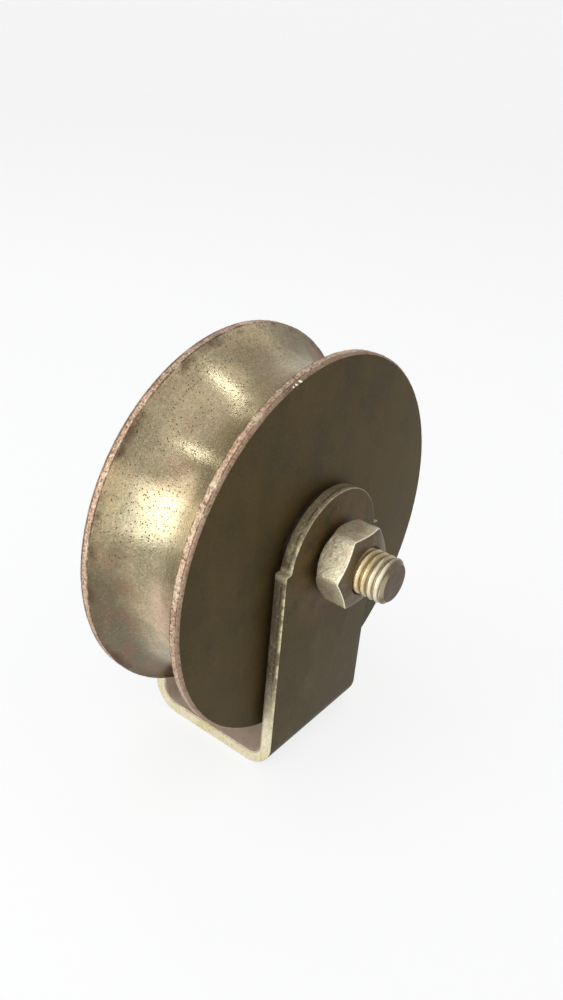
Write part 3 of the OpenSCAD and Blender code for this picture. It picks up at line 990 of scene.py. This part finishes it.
class GATEWHEEL_OT_bolt(bpy.types.Operator):
    """Makes the axle bolt: hex head, plain shank and a real helical thread"""
    bl_idname = "gate_wheel.bolt"
    bl_label = "Axle bolt"

    def execute(self, context):
        thread, tip, flat, end, worn = range(5)
        bm = self.thread(thread, tip)
        for part in (self.shank(), self.head(flat, end, worn)):
            joined = bpy.data.meshes.new("bolt_part")
            part.to_mesh(joined)
            part.free()
            bm.from_mesh(joined)
            bpy.data.meshes.remove(joined)
        finish_piece(bm, "threaded_bolt", "frame",
                     made_materials(thread_finish, tip_finish, nut_flat_finish, nut_face_finish,
                                    worn_edge_finish), ["axle_bolt"])
        return {"FINISHED"}

    def thread(self, side_index, tip_index):
        """One ridge with a rounded crest, spun along the bolt, cut at both ends and chamfered."""
        s = sizes()
        end = BOLT_LOW.y
        ridge = s.crest_share * s.pitch / 2
        crest_r = (ridge ** 2 + s.crest_h ** 2) / (2 * s.crest_h)
        shoulder_r = s.thread_r - s.crest_h
        root_r = shoulder_r - s.flank_h
        begin = -s.thread_start + 2 * s.pitch - s.thread_shift
        turns = math.ceil((begin - end) / s.pitch) + 2

        bm = bmesh.new()
        wire = Outline(bm, above_axle(root_r, begin))
        wire.line(above_axle(shoulder_r, begin - (s.pitch / 2 - ridge)))
        wire.arc(above_axle(s.thread_r - crest_r, begin - s.pitch / 2), (1, 0, 0),
                 2 * math.asin(ridge / crest_r), CREST_STEPS)
        wire.line(above_axle(root_r, begin - s.pitch))
        bmesh.ops.spin(bm, geom=bm.verts[:] + bm.edges[:], cent=AXLE, axis=ALONG_AXLE,
                       dvec=(0, -s.pitch / s.thread_steps, 0), angle=math.tau * turns,
                       steps=s.thread_steps * turns, use_merge=False)
        bmesh.ops.remove_doubles(bm, verts=bm.verts[:], dist=2 * MERGE)
        for y, normal in ((-s.thread_start, ALONG_AXLE), (end, -ALONG_AXLE)):
            cut = bmesh.ops.bisect_plane(bm, geom=everything(bm), plane_co=(0, y, 0), plane_no=normal,
                                         clear_outer=True, dist=ON_PLANE)["geom_cut"]
            bmesh.ops.edgeloop_fill(bm, edges=[g for g in cut if isinstance(g, bmesh.types.BMEdge)])
        for vert in bm.verts:
            radius, angle = off_axle(vert.co)
            limit = s.thread_r - s.tip_chamfer + (vert.co.y - end)
            if radius > limit:
                place_off_axle(vert, limit, angle)
        bmesh.ops.recalc_face_normals(bm, faces=bm.faces[:])
        for face in bm.faces:
            at_end = face.calc_center_median().y < end + MERGE
            face.material_index = tip_index if at_end else side_index
        return bm

    def shank(self):
        s = sizes()
        start, stop = -s.thread_start, BAR_HIGH.y
        bm = bmesh.new()
        wire = Outline(bm, above_axle(0, start))
        for radius, y in ((s.shank_r - s.shank_chamfer, start), (s.shank_r, start + s.shank_chamfer),
                          (s.shank_r, stop), (0, stop)):
            wire.line(above_axle(radius, y))
        spin_closed(bm, BOLT_STEPS)
        return bm

    def head(self, flat_index, end_index, worn_index):
        s = sizes()
        face = s.head_face_r, s.head_slope
        bm = bmesh.new()
        hex_body(bm, BAR_HIGH.y, BOLT_HIGH.y, None, math.pi / 2 + s.head_turn, face, face)
        outside = sharp_edges(bm, 18, s.head_face_r - MERGE)
        hex_materials(bm, round_off(bm, outside, s.head_round, 3), flat_index, end_index, worn_index)
        return bm


class GATEWHEEL_OT_bearings(bpy.types.Operator):
    """Gives the bearings, washers and spacer tube of the frame their steel finishes"""
    bl_idname = "gate_wheel.bearings"
    bl_label = "Bearings, washers and tube"

    def execute(self, context):
        makers = {"ring": ring_finish, "balls": ball_finish, "cage": sheet_finish,
                  "shield": sheet_finish, "washer": bar_floor_finish, "tube": bar_floor_finish}
        found = set()
        for name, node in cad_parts.items():
            word = next((word for word in makers if word in name), None)
            if node.hide_render or word is None:
                continue
            found.add(word)
            for slot in node.material_slots:
                slot.material = made_materials(makers[word])[0]
        if len(found) < len(makers):
            raise RuntimeError("the frame has no node for: " + ", ".join(sorted(set(makers) - found)))
        return {"FINISHED"}


class GATEWHEEL_OT_stage(bpy.types.Operator):
    """Sets the pale floor, soft light and camera"""
    bl_idname = "gate_wheel.stage"
    bl_label = "Stage"

    def execute(self, context):
        scene = context.scene
        scene.view_settings.view_transform = "Standard"
        self.floor(scene)
        self.world(scene)
        for name, lamp in LAMPS.items():
            self.lamp(scene, name, *lamp)
        self.camera(scene)
        return {"FINISHED"}

    def floor(self, scene):
        """A round floor that bends up into a wall."""
        bm = bmesh.new()
        wire = Outline(bm, (0, 0, 0)).line((FLOOR_R, 0, 0))
        wire.arc((FLOOR_R, 0, FLOOR_BEND), (0, -1, 0), math.pi / 2, FLOOR_BEND_STEPS)
        wire.line((FLOOR_R + FLOOR_BEND, 0, FLOOR_TOP))
        spin_closed(bm, FLOOR_STEPS, (0, 0, 0), (0, 0, 1))
        if min(bm.faces, key=lambda face: face.calc_center_median().z).normal.z < 0:
            bmesh.ops.reverse_faces(bm, faces=bm.faces[:])
        mesh = bpy.data.meshes.new("pale_sweep")
        bm.to_mesh(mesh)
        bm.free()
        mesh.shade_smooth()
        floor = bpy.data.objects.new("pale_sweep", mesh)
        scene.collection.objects.link(floor)
        mesh.materials.append(self.floor_material())

    def floor_material(self):
        """Pale grey that takes the shadow, and mostly glows where it is seen."""
        f = Finish("pale_sweep")
        path = f.node("ShaderNodeLightPath")
        seen = f.math("MAXIMUM", path["Is Camera Ray"], path["Is Glossy Ray"])
        seen = f.math("MAXIMUM", seen, path["Is Transmission Ray"])
        plain = f.node("ShaderNodeBsdfDiffuse", {}, {"Color": FLOOR_GREY})["BSDF"]
        glow = f.node("ShaderNodeEmission", {}, {"Color": WHITE, "Strength": 1.0})["Emission"]
        mixed = f.node("ShaderNodeMixShader", {}, {0: seen * FLOOR_GLOW, 1: plain, 2: glow})["Shader"]
        f.node("ShaderNodeOutputMaterial", {}, {"Surface": mixed})
        return f.material

    def world(self, scene):
        world = bpy.data.worlds.new("soft_room")
        world.use_nodes = True
        sky = world.node_tree.nodes["Background"]
        sky.inputs["Color"].default_value = (*WHITE, 1)
        sky.inputs["Strength"].default_value = ROOM_LIGHT
        scene.world = world

    def lamp(self, scene, name, towards, distance, along, size, radiance, tint):
        """A soft panel that faces the axle from one direction, with its first side along another."""
        data = bpy.data.lights.new(name, "AREA")
        data.shape = "RECTANGLE"
        data.size, data.size_y = size
        data.energy = radiance * math.pi * size[0] * size[1]
        data.color = tint
        panel = bpy.data.objects.new(name, data)
        back = Vector(towards).normalized()
        side = Vector(along)
        side = (side - side.dot(back) * back).normalized()
        facing = Matrix((side, back.cross(side), back)).transposed().to_4x4()
        panel.matrix_world = Matrix.Translation(AXLE + distance * back) @ facing
        scene.collection.objects.link(panel)

    def camera(self, scene):
        data = bpy.data.cameras.new("photo_camera")
        data.lens, data.sensor_width = CAMERA_LENS, CAMERA_SENSOR
        data.clip_start, data.clip_end = CAMERA_NEAR, CAMERA_FAR
        viewer = bpy.data.objects.new("photo_camera", data)
        viewer.matrix_world = (Matrix.Translation(AXLE + CAMERA_AT)
                               @ Matrix.Rotation(math.radians(CAMERA_HEADING), 4, "Z")
                               @ Matrix.Rotation(math.radians(90 - CAMERA_DOWN), 4, "X")
                               @ Matrix.Rotation(math.radians(CAMERA_ROLL), 4, "Z"))
        scene.collection.objects.link(viewer)
        scene.camera = viewer


class GATEWHEEL_PT_panel(bpy.types.Panel):
    """Lists the pieces of the gate wheel"""
    bl_idname = "GATEWHEEL_PT_panel"
    bl_label = "Gate wheel"
    bl_space_type = "VIEW_3D"
    bl_region_type = "UI"
    bl_category = "Gate wheel"

    def draw(self, context):
        for operator in OPERATORS:
            self.layout.operator(operator.bl_idname)
        for group in (context.scene.gate_wheel_sizes, context.scene.gate_wheel_colours):
            box = self.layout.box()
            for name in group.bl_rna.properties.keys():
                if name not in ("rna_type", "name"):
                    box.prop(group, name)


OPERATORS = (GATEWHEEL_OT_wheel, GATEWHEEL_OT_beads, GATEWHEEL_OT_bracket, GATEWHEEL_OT_nut,
             GATEWHEEL_OT_bolt, GATEWHEEL_OT_bearings, GATEWHEEL_OT_stage)
CLASSES = (GateWheelSizes, GateWheelColours, *OPERATORS, GATEWHEEL_PT_panel)


def register():
    for cls in CLASSES:
        bpy.utils.register_class(cls)
    bpy.types.Scene.gate_wheel_sizes = PointerProperty(type=GateWheelSizes)
    bpy.types.Scene.gate_wheel_colours = PointerProperty(type=GateWheelColours)


def unregister():
    del bpy.types.Scene.gate_wheel_colours
    del bpy.types.Scene.gate_wheel_sizes
    for cls in reversed(CLASSES):
        bpy.utils.unregister_class(cls)


def main():
    register()
    bpy.ops.gate_wheel.wheel()
    bpy.ops.gate_wheel.beads()
    bpy.ops.gate_wheel.bracket()
    bpy.ops.gate_wheel.nut()
    bpy.ops.gate_wheel.bolt()
    bpy.ops.gate_wheel.bearings()
    bpy.ops.gate_wheel.stage()


if __name__ == "__main__":
    main()
